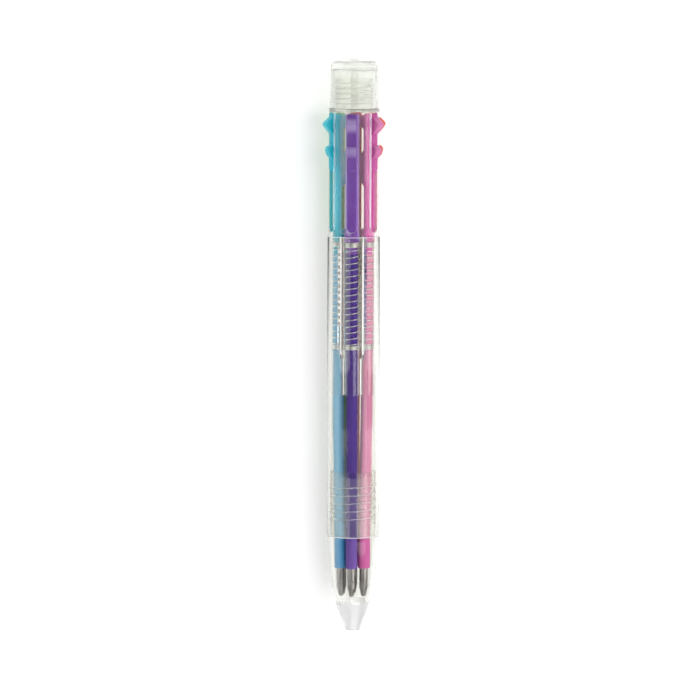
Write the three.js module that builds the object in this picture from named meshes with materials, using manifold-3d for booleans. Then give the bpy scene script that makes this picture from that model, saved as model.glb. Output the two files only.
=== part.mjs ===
// Six-colour click pen lying on a desk, in millimetres.
// The pen's axis is +Y, from the writing end to the cap; +Z is up and Z = 0 is the desk.
// Six coloured sliders stand round the axis. Each pushes its own sprung refill towards the nose.
// Heights below ("y") are measured along the axis from the writing end.
import * as THREE from "three";
import { mergeVertices } from "three/addons/utils/BufferGeometryUtils.js";
import Module from "manifold-3d";

const wasm = await Module();
wasm.setup();

// ---- driving dimensions ----
const LENGTH = 144;
const SIDES = 32; // facets round the large turned pieces
const GAP = 0.1; // running clearance between moving plastics

// colour stations round the axis, in degrees from straight up towards +X
const STATIONS = {
  purple: -30,
  pink: 30,
  orange: 90,
  red: 150,
  green: 210,
  cyan: 270,
};
const STATION_COUNT = Object.keys(STATIONS).length;
const STATION_RADIUS = 3.95; // of the springs and of the upper ends of the refills

// casing
const NOSE_JOINT = 24.1;
const BODY_JOINT = 99.7;
const BODY_SPIGOT_BOTTOM = 98.5; // the upper barrel's lap inside the lower one
const CAP_JOINT = 131.6;
const LOWER_RADIUS = 6.6;
const LOWER_BORE = 5.68;
const UPPER_RADIUS = 6.35;
const UPPER_BORE = 5.38;
const COUNTERBORE_RADIUS = 5.9; // in the lower barrel, for the nose's threaded spigot
const COUNTERBORE_TOP = 41.5;
const NOSE_HOLE_RADIUS = 1.35;
const SPIGOT_RADIUS = 5.65;
const SPIGOT_TOP = 40.6;
const SPIGOT_BORE = 5.2;
const NECK_RADIUS = 4.85;
const NECK_TOP = 139.2;
const NECK_BORE = 4.1;
const PILLAR_RADIUS = 0.9;
const PILLAR_BOTTOM = 132.6;

// screw threads, drawn as plain rings
const NOSE_THREAD = { first: 27.9, pitch: 2, count: 6, height: 0.16 };
const CAP_THREAD = { first: 133, pitch: 1.25, count: 5, height: 0.16 };

// slider slots in the upper barrel
const SLOT_WIDTH = 2.5;
const SLOT_BOTTOM = 100.9;
const SLOT_TOP = 130.6;

// refill guide
const SLEEVE_BOTTOM = 60;
const POCKET_FLOOR = 71.3;
const POCKET_TOP = 77.3;
const BLOCK_BOTTOM = 69.3;
const BLOCK_RADIUS = 5;
const RIB_BOTTOM = 70.5;
const RIB_TOP = 99.9;
const RIB_RADIUS = 5.3;
const GUIDE_HUB_RADIUS = 4.15;
const GUIDE_LOBE_RADIUS = 1.65;
const GUIDE_HOLE_RADIUS = 1.5;
const POCKET_RADIUS = 1.78;

// refills: the tube leans in towards the axis below the guide
const TUBE_RADIUS = 1.4;
const TUBE_BORE = 0.95;
const TUBE_TOP = 95.4;
const TUBE_BOTTOM = 16.2;
const BEND_TOP = 60;
const BEND_BOTTOM = 52;
const POINT_TIP = 8.8;
const TIP_RADIUS_FROM_AXIS = 3.1;
const POINT_RADIUS = 1;
const POINT_CONE_TOP = 11.4;
const BALL_RADIUS = 0.45;

// springs
const SPRING_MEAN_RADIUS = 1.63;
const SPRING_WIRE_RADIUS = 0.1;
const SPRING_BOTTOM = POCKET_FLOOR;
const SPRING_TOP = 98.4;
const SPRING_PITCH = 1.47;
const SPRING_CLOSED_TURNS = 3;
const SPRING_STEPS_PER_TURN = 8;

// sliders
const SLIDER_TOP = 130.3;
const RAIL_WIDTH = 3.2;
const RAIL_RADIUS = 5.25;
const RAIL_INNER = 4;
const FOOT_WIDTH = 3.46;
const FOOT_TOP = 101.7;
const COLLAR_RADIUS = 1.6;
const STEM_RADIUS = 1.3;
const PEG_RADIUS = 0.85;
const PEG_BOTTOM = 89.5;
const PAD_WIDTH = 2.3;
const PAD_BOTTOM = 115.8;
const CAM_WIDTH = 1;

// ---- colours ----
const PLASTIC_COLOURS = {
  purple: 0x7a4ca0,
  pink: 0xdc6fae,
  orange: 0xec5b50,
  red: 0xdc3444,
  green: 0x69b95a,
  cyan: 0x10b8cc,
};
const TUBE_COLOURS = {
  purple: 0x53389a,
  pink: 0xe383b4,
  orange: 0xe4603c,
  red: 0xd63546,
  green: 0x6cb35a,
  cyan: 0x74b6de,
};

const material = (color, roughness, metalness = 0) =>
  new THREE.MeshStandardMaterial({ color, roughness, metalness });
const clearPlastic = material(0xdfe3d8, 0.08);
const frostedPlastic = material(0xe8ece0, 0.35);
const springSteel = material(0xc9cac4, 0.2, 1);
const pointMetal = material(0xa6a2a4, 0.25, 1);
const ballMetal = material(0x8a8a8c, 0.15, 1);

// ---- solids ----
function solidOf(geometry) {
  const bare = geometry.index ? geometry.toNonIndexed() : geometry.clone();
  bare.deleteAttribute("normal");
  bare.deleteAttribute("uv");
  const merged = mergeVertices(bare, 1e-4);
  return new wasm.Manifold(
    new wasm.Mesh({
      numProp: 3,
      vertProperties: new Float32Array(merged.attributes.position.array),
      triVerts: new Uint32Array(merged.index.array),
    }),
  );
}

function geometryOf(solid) {
  const mesh = solid.getMesh();
  const geometry = new THREE.BufferGeometry();
  geometry.setAttribute("position", new THREE.BufferAttribute(mesh.vertProperties, 3));
  geometry.setIndex(new THREE.BufferAttribute(mesh.triVerts, 1));
  return geometry;
}

const points = (pairs) => pairs.map(([x, y]) => new THREE.Vector2(x, y));

// A closed outline of (radius, y) points turned round the axis, listed anticlockwise.
function turned(outline, sides = SIDES) {
  return new THREE.LatheGeometry(points([...outline, outline[0]]), sides);
}

// A solid whose outline of (radius, y) points starts and ends on the axis.
function turnedFromAxis(outline, sides) {
  return new THREE.LatheGeometry(points(outline), sides);
}

// A plain cylinder along the axis between two heights, its axis at distance x.
function rod(radius, bottom, top, x = 0, sides = 16) {
  const geometry = new THREE.CylinderGeometry(radius, radius, top - bottom, sides);
  return geometry.translate(x, (bottom + top) / 2, 0);
}

// A shape in the plane of the radius (x) and the axis (y), with a thickness along the tangent (z).
function plate(shape, thickness) {
  const geometry = new THREE.ExtrudeGeometry(shape, {
    depth: thickness,
    bevelEnabled: false,
    curveSegments: 4,
  });
  return geometry.translate(0, 0, -thickness / 2);
}

const radians = THREE.MathUtils.degToRad;

// Turns a geometry made for the radius +X to the given angle from straight up.
const toStation = (geometry, angle) => geometry.clone().rotateY(radians(angle - 90));

// Ring ridges that stand for a screw thread on an outline's outer wall.
function threadRidges(radius, thread) {
  const ridges = [[radius, thread.first - thread.pitch / 2]];
  for (let i = 0; i < thread.count; i += 1) {
    const crest = thread.first + i * thread.pitch;
    ridges.push([radius + thread.height, crest]);
    ridges.push([radius, crest + thread.pitch / 2]);
  }
  return ridges;
}

// ---- casing ----
function noseCone() {
  return turned([
    [NOSE_HOLE_RADIUS, 0],
    [1.75, 0],
    [1.95, 0.3],
    [2.6, 2.1],
    [3.1, 3.6],
    [3.75, 5.3],
    [4.35, 7],
    [4.85, 8.7],
    [5.3, 11.2],
    [5.72, 14.2],
    [6.08, 17.2],
    [6.33, 20.2],
    [6.53, 22.6],
    [6.58, NOSE_JOINT],
    [SPIGOT_RADIUS, NOSE_JOINT],
    ...threadRidges(SPIGOT_RADIUS, NOSE_THREAD),
    [SPIGOT_RADIUS, SPIGOT_TOP],
    [SPIGOT_BORE, SPIGOT_TOP],
    [SPIGOT_BORE, 23],
    [4.95, 19.5],
    [4.78, 15.8],
    [4.36, 11.4],
    [4.12, 9.8],
    [3.8, 8.6],
    [3.35, 7.7],
    [2.95, 6],
    [2.2, 3.4],
    [NOSE_HOLE_RADIUS, 0.9],
  ]);
}

function lowerBarrel() {
  return turned([
    [COUNTERBORE_RADIUS, NOSE_JOINT + GAP],
    [LOWER_RADIUS, NOSE_JOINT + GAP],
    [LOWER_RADIUS, BODY_JOINT],
    [LOWER_BORE, BODY_JOINT],
    [LOWER_BORE, COUNTERBORE_TOP],
    [COUNTERBORE_RADIUS, COUNTERBORE_TOP - 0.3],
  ]);
}

// One slot: round at its lower end and square at the top, cut from the bore out through the wall.
function slotCutter() {
  const half = SLOT_WIDTH / 2;
  const shape = new THREE.Shape();
  shape.absarc(0, SLOT_BOTTOM + half, half, Math.PI, 2 * Math.PI);
  shape.lineTo(half, SLOT_TOP);
  shape.lineTo(-half, SLOT_TOP);
  const geometry = new THREE.ExtrudeGeometry(shape, {
    depth: 4,
    bevelEnabled: false,
    curveSegments: 8,
  });
  return geometry.translate(0, 0, 3.5);
}

function upperBarrel() {
  let barrel = solidOf(
    turned([
      [UPPER_BORE, BODY_SPIGOT_BOTTOM],
      [LOWER_BORE - 0.03, BODY_SPIGOT_BOTTOM],
      [LOWER_BORE - 0.03, BODY_JOINT + GAP],
      [UPPER_RADIUS, BODY_JOINT + GAP],
      [UPPER_RADIUS, CAP_JOINT],
      [NECK_RADIUS, CAP_JOINT],
      ...threadRidges(NECK_RADIUS, CAP_THREAD),
      [NECK_RADIUS, NECK_TOP],
      [NECK_BORE, NECK_TOP],
      [NECK_BORE, SLOT_TOP + 0.9],
      [UPPER_BORE, SLOT_TOP + 0.2],
    ]),
  );
  for (const angle of Object.values(STATIONS)) {
    const cutter = slotCutter().rotateY(radians(angle));
    barrel = barrel.subtract(solidOf(cutter));
  }
  return geometryOf(barrel);
}

// A cup with a thin pillar down its middle and a small flat knob on top.
function topCap() {
  const bore = NECK_RADIUS + CAP_THREAD.height + GAP;
  const ceiling = 141.4;
  return turnedFromAxis(
    [
      [0, PILLAR_BOTTOM],
      [PILLAR_RADIUS, PILLAR_BOTTOM],
      [PILLAR_RADIUS, ceiling],
      [bore - 0.6, ceiling],
      [bore, ceiling - 0.6],
      [bore, CAP_JOINT + GAP],
      [6.1, CAP_JOINT + GAP],
      [6.02, 135],
      [5.95, 141.2],
      [5.82, 142.4],
      [5.5, 143.05],
      [5, 143.4],
      [1.6, 143.65],
      [1.3, LENGTH],
      [0, LENGTH],
    ],
    SIDES,
  );
}

// ---- refill guide ----
function stationRods(radius, bottom, top) {
  const shape = rod(radius, bottom, top, STATION_RADIUS);
  return Object.values(STATIONS).map((angle) => solidOf(toStation(shape, angle)));
}

// A channel along the radius +X for one spring: round inside, open towards the barrel.
function channelCutter() {
  const shape = new THREE.Shape();
  shape.absarc(0, STATION_RADIUS, POCKET_RADIUS, Math.PI, 2 * Math.PI);
  shape.lineTo(POCKET_RADIUS, RIB_RADIUS + 1);
  shape.lineTo(-POCKET_RADIUS, RIB_RADIUS + 1);
  const geometry = new THREE.ExtrudeGeometry(shape, {
    depth: RIB_TOP - RIB_BOTTOM + 2,
    bevelEnabled: false,
    curveSegments: 8,
  });
  geometry.rotateX(-Math.PI / 2).rotateY(-Math.PI / 2);
  return geometry.translate(0, RIB_BOTTOM - 1, 0);
}

// Six ribs that widen towards the barrel, with a channel for a spring between each two.
function guideRibs() {
  let ribs = solidOf(rod(RIB_RADIUS, RIB_BOTTOM, RIB_TOP, 0, SIDES));
  for (const angle of Object.values(STATIONS)) {
    ribs = ribs.subtract(solidOf(toStation(channelCutter(), angle)));
  }
  return ribs;
}

function refillGuide() {
  let guide = solidOf(rod(GUIDE_HUB_RADIUS, SLEEVE_BOTTOM, POCKET_FLOOR, 0, SIDES));
  for (const lobe of stationRods(GUIDE_LOBE_RADIUS, SLEEVE_BOTTOM, POCKET_FLOOR)) {
    guide = guide.add(lobe);
  }
  guide = guide.add(solidOf(rod(BLOCK_RADIUS, BLOCK_BOTTOM, POCKET_TOP, 0, SIDES)));
  for (const pocket of stationRods(POCKET_RADIUS, POCKET_FLOOR, POCKET_TOP + 1)) {
    guide = guide.subtract(pocket);
  }
  for (const hole of stationRods(GUIDE_HOLE_RADIUS, SLEEVE_BOTTOM - 1, POCKET_FLOOR + 1)) {
    guide = guide.subtract(hole);
  }
  guide = guide.add(guideRibs());
  return geometryOf(guide);
}

// ---- springs ----
// Right-handed helix with closed ends: the rise per turn is small over the first and last turns.
class SpringCurve extends THREE.Curve {
  constructor() {
    super();
    const wire = 2 * SPRING_WIRE_RADIUS;
    this.closedRise = wire * 1.1 * SPRING_CLOSED_TURNS;
    this.bottom = SPRING_BOTTOM + wire;
    this.top = SPRING_TOP - wire;
    this.openRise = this.top - this.bottom - 2 * this.closedRise;
    this.openTurns = Math.round(this.openRise / SPRING_PITCH);
    this.turns = this.openTurns + 2 * SPRING_CLOSED_TURNS;
  }

  height(turn) {
    if (turn < SPRING_CLOSED_TURNS) {
      return this.bottom + (this.closedRise * turn) / SPRING_CLOSED_TURNS;
    }
    const open = turn - SPRING_CLOSED_TURNS;
    if (open < this.openTurns) {
      return this.bottom + this.closedRise + (this.openRise * open) / this.openTurns;
    }
    const last = (open - this.openTurns) / SPRING_CLOSED_TURNS;
    return this.top - this.closedRise * (1 - last);
  }

  getPoint(t, target = new THREE.Vector3()) {
    const turn = t * this.turns;
    const angle = 2 * Math.PI * turn;
    const x = SPRING_MEAN_RADIUS * Math.cos(angle);
    const z = -SPRING_MEAN_RADIUS * Math.sin(angle);
    return target.set(x, this.height(turn), z);
  }

  getPointAt(t, target) {
    return this.getPoint(t, target);
  }
}

function spring() {
  const curve = new SpringCurve();
  const steps = Math.round(curve.turns * SPRING_STEPS_PER_TURN);
  const corners = [];
  for (let i = 0; i < 3; i += 1) {
    const angle = (2 * Math.PI * i) / 3;
    const x = SPRING_WIRE_RADIUS * Math.cos(angle);
    corners.push(new THREE.Vector2(x, SPRING_WIRE_RADIUS * Math.sin(angle)));
  }
  return new THREE.ExtrudeGeometry(new THREE.Shape(corners), { steps, extrudePath: curve });
}

// ---- refills ----
const BEND_MIDDLE = (BEND_TOP + BEND_BOTTOM) / 2;
const LEAN = Math.atan((STATION_RADIUS - TIP_RADIUS_FROM_AXIS) / (BEND_MIDDLE - POINT_TIP));

// How far the bent tube has moved in towards the axis at height y.
function inwardShift(y) {
  if (y >= BEND_TOP) {
    return 0;
  }
  if (y <= BEND_BOTTOM) {
    return Math.tan(LEAN) * (BEND_MIDDLE - y);
  }
  return (Math.tan(LEAN) * (BEND_TOP - y) ** 2) / (2 * (BEND_TOP - BEND_BOTTOM));
}

function refillTube() {
  const heights = [TUBE_BOTTOM, BEND_BOTTOM, BEND_TOP, TUBE_TOP];
  const outer = heights.map((y) => [TUBE_RADIUS, y]);
  const inner = heights.map((y) => [TUBE_BORE, y]).reverse();
  const geometry = turned([...outer, ...inner], 10);
  const position = geometry.attributes.position;
  for (let i = 0; i < position.count; i += 1) {
    position.setX(i, position.getX(i) - inwardShift(position.getY(i)));
  }
  return geometry;
}

// The point and its ball are made round their own axis and leaned with their group.
function writingPoint() {
  const shankRadius = TUBE_BORE - 0.05;
  const shankTop = TUBE_BOTTOM + 4;
  const socket = BALL_RADIUS + 0.03;
  const ballHeight = POINT_TIP + BALL_RADIUS;
  const rim = ballHeight - 0.16;
  const rimInner = Math.sqrt(socket ** 2 - (ballHeight - rim) ** 2);
  return turnedFromAxis(
    [
      [0, ballHeight + socket],
      [socket * Math.SQRT1_2, ballHeight + socket * Math.SQRT1_2],
      [socket, ballHeight],
      [rimInner, rim],
      [rimInner + 0.1, rim],
      [POINT_RADIUS, POINT_CONE_TOP],
      [POINT_RADIUS, TUBE_BOTTOM - 0.02],
      [shankRadius, TUBE_BOTTOM - 0.02],
      [shankRadius, shankTop],
      [0, shankTop],
    ],
    10,
  );
}

const writingBall = () =>
  new THREE.SphereGeometry(BALL_RADIUS, 8, 5).translate(0, POINT_TIP + BALL_RADIUS, 0);

// ---- sliders ----
// Side view of the raised pad: a low pad, a small bump and the tall latch bump that a thumb pushes.
function padOutline() {
  const shape = new THREE.Shape();
  shape.moveTo(4.6, PAD_BOTTOM);
  shape.lineTo(5.9, PAD_BOTTOM);
  shape.quadraticCurveTo(6.35, PAD_BOTTOM + 0.6, 6.4, 119.3);
  shape.quadraticCurveTo(7.1, 120, 7.4, 120.9);
  shape.quadraticCurveTo(7.6, 121.6, 7.2, 122);
  shape.lineTo(6.3, 122.6);
  shape.lineTo(6.3, 125.3);
  shape.lineTo(7.95, 127.1);
  shape.quadraticCurveTo(8.45, 127.7, 8, 128.2);
  shape.lineTo(6.45, 129.6);
  shape.lineTo(6.2, SLIDER_TOP);
  shape.lineTo(4.6, SLIDER_TOP);
  return shape;
}

// Front view of the pad: round at its lower end, square at the top.
function padFront() {
  const half = PAD_WIDTH / 2;
  const shape = new THREE.Shape();
  shape.absarc(0, PAD_BOTTOM + half, half, Math.PI, 2 * Math.PI);
  shape.lineTo(half, SLIDER_TOP);
  shape.lineTo(-half, SLIDER_TOP);
  return shape;
}

function sliderPad() {
  const side = solidOf(plate(padOutline(), PAD_WIDTH + 1));
  const front = new THREE.ExtrudeGeometry(padFront(), {
    depth: 6,
    bevelEnabled: false,
    curveSegments: 8,
  });
  front.translate(0, 0, 3.5).rotateY(Math.PI / 2);
  return side.intersect(solidOf(front));
}

// The inner web with its two cams, which reach in between the neighbouring sliders' cams.
function sliderCams() {
  const shape = new THREE.Shape();
  shape.moveTo(4.4, 112);
  shape.lineTo(3.6, 112);
  shape.lineTo(1.4, 114.2);
  shape.lineTo(1.4, 119.6);
  shape.lineTo(3.1, 121.3);
  shape.lineTo(3.1, 126.5);
  shape.lineTo(2, 127.6);
  shape.lineTo(2, SLIDER_TOP - 0.4);
  shape.lineTo(4.4, SLIDER_TOP - 0.4);
  return solidOf(plate(shape, CAM_WIDTH));
}

// The rail that slides under the slot, with its wider foot and the collar that the spring pushes
// on, all cut to the curve of the barrel's bore.
function sliderRail() {
  const foot = new THREE.Shape();
  foot.moveTo(-FOOT_WIDTH / 2, SPRING_TOP);
  foot.lineTo(FOOT_WIDTH / 2, SPRING_TOP);
  foot.lineTo(FOOT_WIDTH / 2, FOOT_TOP - 1.2);
  foot.lineTo(RAIL_WIDTH / 2, FOOT_TOP);
  foot.lineTo(RAIL_WIDTH / 2, SLIDER_TOP);
  foot.lineTo(-RAIL_WIDTH / 2, SLIDER_TOP);
  foot.lineTo(-RAIL_WIDTH / 2, FOOT_TOP);
  foot.lineTo(-FOOT_WIDTH / 2, FOOT_TOP - 1.2);
  const geometry = new THREE.ExtrudeGeometry(foot, { depth: 2, bevelEnabled: false });
  geometry.translate(0, 0, RAIL_INNER).rotateY(Math.PI / 2);
  const collar = rod(COLLAR_RADIUS, SPRING_TOP, FOOT_TOP, STATION_RADIUS);
  const bore = rod(RAIL_RADIUS, SPRING_TOP - 1, SLIDER_TOP + 1, 0, 2 * SIDES);
  return solidOf(geometry).add(solidOf(collar)).intersect(solidOf(bore));
}

function slider() {
  const body = sliderRail()
    .add(sliderPad())
    .add(sliderCams())
    .add(solidOf(rod(STEM_RADIUS, TUBE_TOP, SPRING_TOP + 0.5, STATION_RADIUS)))
    .add(solidOf(rod(PEG_RADIUS, PEG_BOTTOM, TUBE_TOP + 0.5, STATION_RADIUS, 10)));
  return geometryOf(body);
}

// ---- assembly ----
function addPiece(parent, name, geometry, pieceMaterial) {
  const mesh = new THREE.Mesh(geometry, pieceMaterial);
  mesh.name = name;
  parent.add(mesh);
  return mesh;
}

// The point hangs from the tube's bend: its group stands at the bend and leans in to the axis.
function addWritingEnd(station, colour, pointShape, ballShape) {
  const writingEnd = new THREE.Group();
  writingEnd.position.set(STATION_RADIUS, BEND_MIDDLE, 0);
  writingEnd.rotation.z = -LEAN;
  addPiece(writingEnd, `writing_point_${colour}`, pointShape, pointMetal);
  addPiece(writingEnd, `writing_ball_${colour}`, ballShape, ballMetal);
  station.add(writingEnd);
}

const pen = new THREE.Group();
addPiece(pen, "top_cap", topCap(), frostedPlastic);
addPiece(pen, "upper_barrel", upperBarrel(), clearPlastic);
addPiece(pen, "lower_barrel", lowerBarrel(), clearPlastic);
addPiece(pen, "nose_cone", noseCone(), clearPlastic);
addPiece(pen, "refill_guide", refillGuide(), clearPlastic);

const sliderShape = slider();
const springShape = spring().translate(STATION_RADIUS, 0, 0);
const tubeShape = refillTube().translate(STATION_RADIUS, 0, 0);
const pointShape = writingPoint().translate(0, -BEND_MIDDLE, 0);
const ballShape = writingBall().translate(0, -BEND_MIDDLE, 0);

for (const [colour, angle] of Object.entries(STATIONS)) {
  const station = new THREE.Group();
  station.rotation.y = radians(angle - 90);
  addPiece(station, `slider_${colour}`, sliderShape, material(PLASTIC_COLOURS[colour], 0.3));
  addPiece(station, `spring_${colour}`, springShape, springSteel);
  addPiece(station, `refill_tube_${colour}`, tubeShape, material(TUBE_COLOURS[colour], 0.35));
  addWritingEnd(station, colour, pointShape, ballShape);
  pen.add(station);
}

// The pen lies with its middle over the origin, on the bumps of its two lowest sliders.
const resting = new THREE.Box3().setFromObject(pen, true);
pen.position.set(0, -LENGTH / 2, -resting.min.z);

export default pen;
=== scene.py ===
import math

import bmesh
import bpy
from mathutils import Matrix, Vector


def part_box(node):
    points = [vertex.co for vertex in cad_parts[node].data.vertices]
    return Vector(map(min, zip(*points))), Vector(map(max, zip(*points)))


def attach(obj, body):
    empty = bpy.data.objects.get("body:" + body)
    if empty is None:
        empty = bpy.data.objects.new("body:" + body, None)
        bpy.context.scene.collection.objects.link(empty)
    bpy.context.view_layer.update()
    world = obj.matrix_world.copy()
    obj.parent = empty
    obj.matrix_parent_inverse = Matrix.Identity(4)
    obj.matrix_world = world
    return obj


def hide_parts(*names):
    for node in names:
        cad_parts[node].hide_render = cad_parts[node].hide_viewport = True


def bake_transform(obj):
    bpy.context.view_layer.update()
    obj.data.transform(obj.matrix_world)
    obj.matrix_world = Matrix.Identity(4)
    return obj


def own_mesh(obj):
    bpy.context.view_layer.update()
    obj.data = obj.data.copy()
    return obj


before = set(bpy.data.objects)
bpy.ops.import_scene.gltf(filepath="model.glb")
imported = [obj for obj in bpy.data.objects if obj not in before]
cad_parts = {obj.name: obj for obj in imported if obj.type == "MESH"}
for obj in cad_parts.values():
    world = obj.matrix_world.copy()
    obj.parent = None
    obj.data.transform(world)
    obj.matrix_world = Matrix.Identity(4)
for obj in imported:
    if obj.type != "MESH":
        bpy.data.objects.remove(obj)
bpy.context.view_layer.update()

# ---- the pen's own frame: millimetres, +Y along the axis from the writing end, z up from the axis ----
MM = 0.001
COLOURS = ("purple", "pink", "orange", "red", "green", "cyan")
WRITING_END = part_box("nose_cone")[0].y
LENGTH = (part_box("top_cap")[1].y - WRITING_END) / MM
AXIS_HEIGHT = sum(corner.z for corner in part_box("lower_barrel")) / 2
PEN_TO_WORLD = Matrix.Translation((0, WRITING_END, AXIS_HEIGHT)) @ Matrix.Scale(MM, 4)


def heights(node):
    """Lowest and highest y of a CAD node in the pen's frame, in mm."""
    low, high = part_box(node)
    return (low.y - WRITING_END) / MM, (high.y - WRITING_END) / MM


def station_angle(colour):
    """Angle of a colour's station round the axis, from straight up towards +X."""
    low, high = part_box(f"spring_{colour}")
    middle = (low + high) / 2
    return math.atan2(middle.x, middle.z - AXIS_HEIGHT)


def station_radius():
    low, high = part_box("spring_purple")
    middle = (low + high) / 2
    return math.hypot(middle.x, middle.z - AXIS_HEIGHT) / MM


STATION_RADIUS = station_radius()


# ---- camera: long lens, seen from the cap's side and a little to the left of straight above ----
VIEW_ROLL_ROUND_PEN = math.radians(-25)
VIEW_TOWARDS_CAP = math.radians(6)
VIEW_DISTANCE = 1.0
VIEW_WIDTH = 0.1756
PICTURE_TILT = math.radians(0.18)
SENSOR_WIDTH = 36
# The camera looks this far, in mm, from the middle of the pen's axis.
VIEW_AIM_LEFT = 0.85
VIEW_AIM_DOWN = 1.0


def make_camera():
    camera = bpy.data.objects.new("camera", bpy.data.cameras.new("camera"))
    bpy.context.scene.collection.objects.link(camera)
    across = math.cos(VIEW_TOWARDS_CAP)
    towards = Vector(
        (
            across * math.sin(VIEW_ROLL_ROUND_PEN),
            math.sin(VIEW_TOWARDS_CAP),
            across * math.cos(VIEW_ROLL_ROUND_PEN),
        )
    )
    up = (Vector((0, 1, 0)) - towards * towards.y).normalized()
    right = up.cross(towards)
    aim = Vector((0, 0, AXIS_HEIGHT)) - right * VIEW_AIM_LEFT * MM - up * VIEW_AIM_DOWN * MM
    turned = Matrix.Rotation(PICTURE_TILT, 3, towards)
    axes = Matrix((turned @ right, turned @ up, towards)).transposed()
    camera.matrix_world = Matrix.Translation(aim + towards * VIEW_DISTANCE) @ axes.to_4x4()
    camera.data.sensor_width = SENSOR_WIDTH
    camera.data.lens = SENSOR_WIDTH * VIEW_DISTANCE / VIEW_WIDTH
    camera.data.clip_start = 0.01
    bpy.context.scene.camera = camera


make_camera()


# ---- mesh building ----
def new_object(name, points, faces, to_world=PEN_TO_WORLD):
    mesh = bpy.data.meshes.new(name)
    mesh.from_pydata([to_world @ Vector(p) for p in points], [], faces)
    bm = bmesh.new()
    bm.from_mesh(mesh)
    bmesh.ops.remove_doubles(bm, verts=bm.verts, dist=1e-7)
    bmesh.ops.recalc_face_normals(bm, faces=bm.faces)
    bm.to_mesh(mesh)
    bm.free()
    obj = bpy.data.objects.new(name, mesh)
    bpy.context.scene.collection.objects.link(obj)
    return obj


def smooth(obj, crease=35):
    """Smooth shading, with edges sharper than crease degrees left sharp."""
    mesh = obj.data
    mesh.polygons.foreach_set("use_smooth", [True] * len(mesh.polygons))
    mesh.set_sharp_from_angle(angle=math.radians(crease))
    return obj


def filleted(corners, steps=4):
    """Outline points from (x, y) or (x, y, radius) corners; a corner with a radius becomes an arc."""
    outline = []
    count = len(corners)
    for i, corner in enumerate(corners):
        here = Vector(corner[:2])
        radius = corner[2] if len(corner) > 2 else 0
        if not radius:
            outline.append(tuple(here))
            continue
        before = Vector(corners[i - 1][:2]) - here
        after = Vector(corners[(i + 1) % count][:2]) - here
        half = before.angle(after) / 2
        reach = min(radius / math.tan(half), before.length / 2, after.length / 2)
        start = here + before.normalized() * reach
        end = here + after.normalized() * reach
        for k in range(steps + 1):
            t = k / steps
            outline.append(tuple(start.lerp(here, t).lerp(here.lerp(end, t), t)))
    return outline


def lathe(name, outline, sides=96, shift=None, closed=True):
    """A closed outline of (radius, y) points turned round the pen's axis.
    shift(angle, y, radius) may return a new (x, y, z); otherwise the point stays where it was turned."""
    points = []
    faces = []
    count = len(outline)
    for i in range(sides):
        angle = 2 * math.pi * i / sides
        for radius, y in outline:
            if shift:
                points.append(shift(angle, y, radius))
            else:
                points.append((radius * math.sin(angle), y, radius * math.cos(angle)))
    for i in range(sides):
        here = i * count
        there = ((i + 1) % sides) * count
        for k in range(count if closed else count - 1):
            j = (k + 1) % count
            faces.append((here + k, here + j, there + j, there + k))
    return new_object(name, points, faces)


def prism(name, outline, bottom, top, place, to_world=Matrix.Identity(4)):
    """A flat outline of (u, v) pushed from w = bottom to w = top; place(u, v, w) gives each point."""
    count = len(outline)
    points = [place(u, v, w) for w in (bottom, top) for u, v in outline]
    faces = [tuple(range(count)), tuple(range(2 * count - 1, count - 1, -1))]
    for i in range(count):
        j = (i + 1) % count
        faces.append((i, j, count + j, count + i))
    return new_object(name, points, faces, to_world)


def circle(radius, sides=32, x=0, y=0):
    turns = [2 * math.pi * i / sides for i in range(sides)]
    return [(x + radius * math.cos(a), y + radius * math.sin(a)) for a in turns]


def apply_modifiers(obj):
    depsgraph = bpy.context.evaluated_depsgraph_get()
    mesh = bpy.data.meshes.new_from_object(obj.evaluated_get(depsgraph))
    obj.modifiers.clear()
    obj.data = mesh
    return obj


def bevelled(obj, width, segments, angle=50):
    """Rounds every edge sharper than angle degrees."""
    modifier = obj.modifiers.new("bevel", "BEVEL")
    modifier.width = width
    modifier.segments = segments
    modifier.limit_method = "ANGLE"
    modifier.angle_limit = math.radians(angle)
    modifier.use_clamp_overlap = True
    return apply_modifiers(obj)


def combined(obj, others, operation):
    """Joins or cuts obj with the others, which are used up."""
    for other in others:
        modifier = obj.modifiers.new("boolean", "BOOLEAN")
        modifier.operation = operation
        modifier.solver = "MANIFOLD"
        modifier.object = other
        apply_modifiers(obj)
        bpy.data.objects.remove(other)
    return obj


def turned_to(obj, angle):
    """Turns a mesh made in the pen's millimetres on the radius straight up to another station's angle."""
    obj.data.transform(Matrix.Rotation(angle, 4, "Y"))
    return obj


def into_world(obj):
    obj.data.transform(PEN_TO_WORLD)
    return obj


# Places for prisms, on the radius straight up: side plates, front plates and rods along the axis.
def side_view(radius, y, across):
    return across, y, radius


def front_view(across, y, radius):
    return across, y, radius


def along_axis(x, z, y):
    return x, y, z


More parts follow.
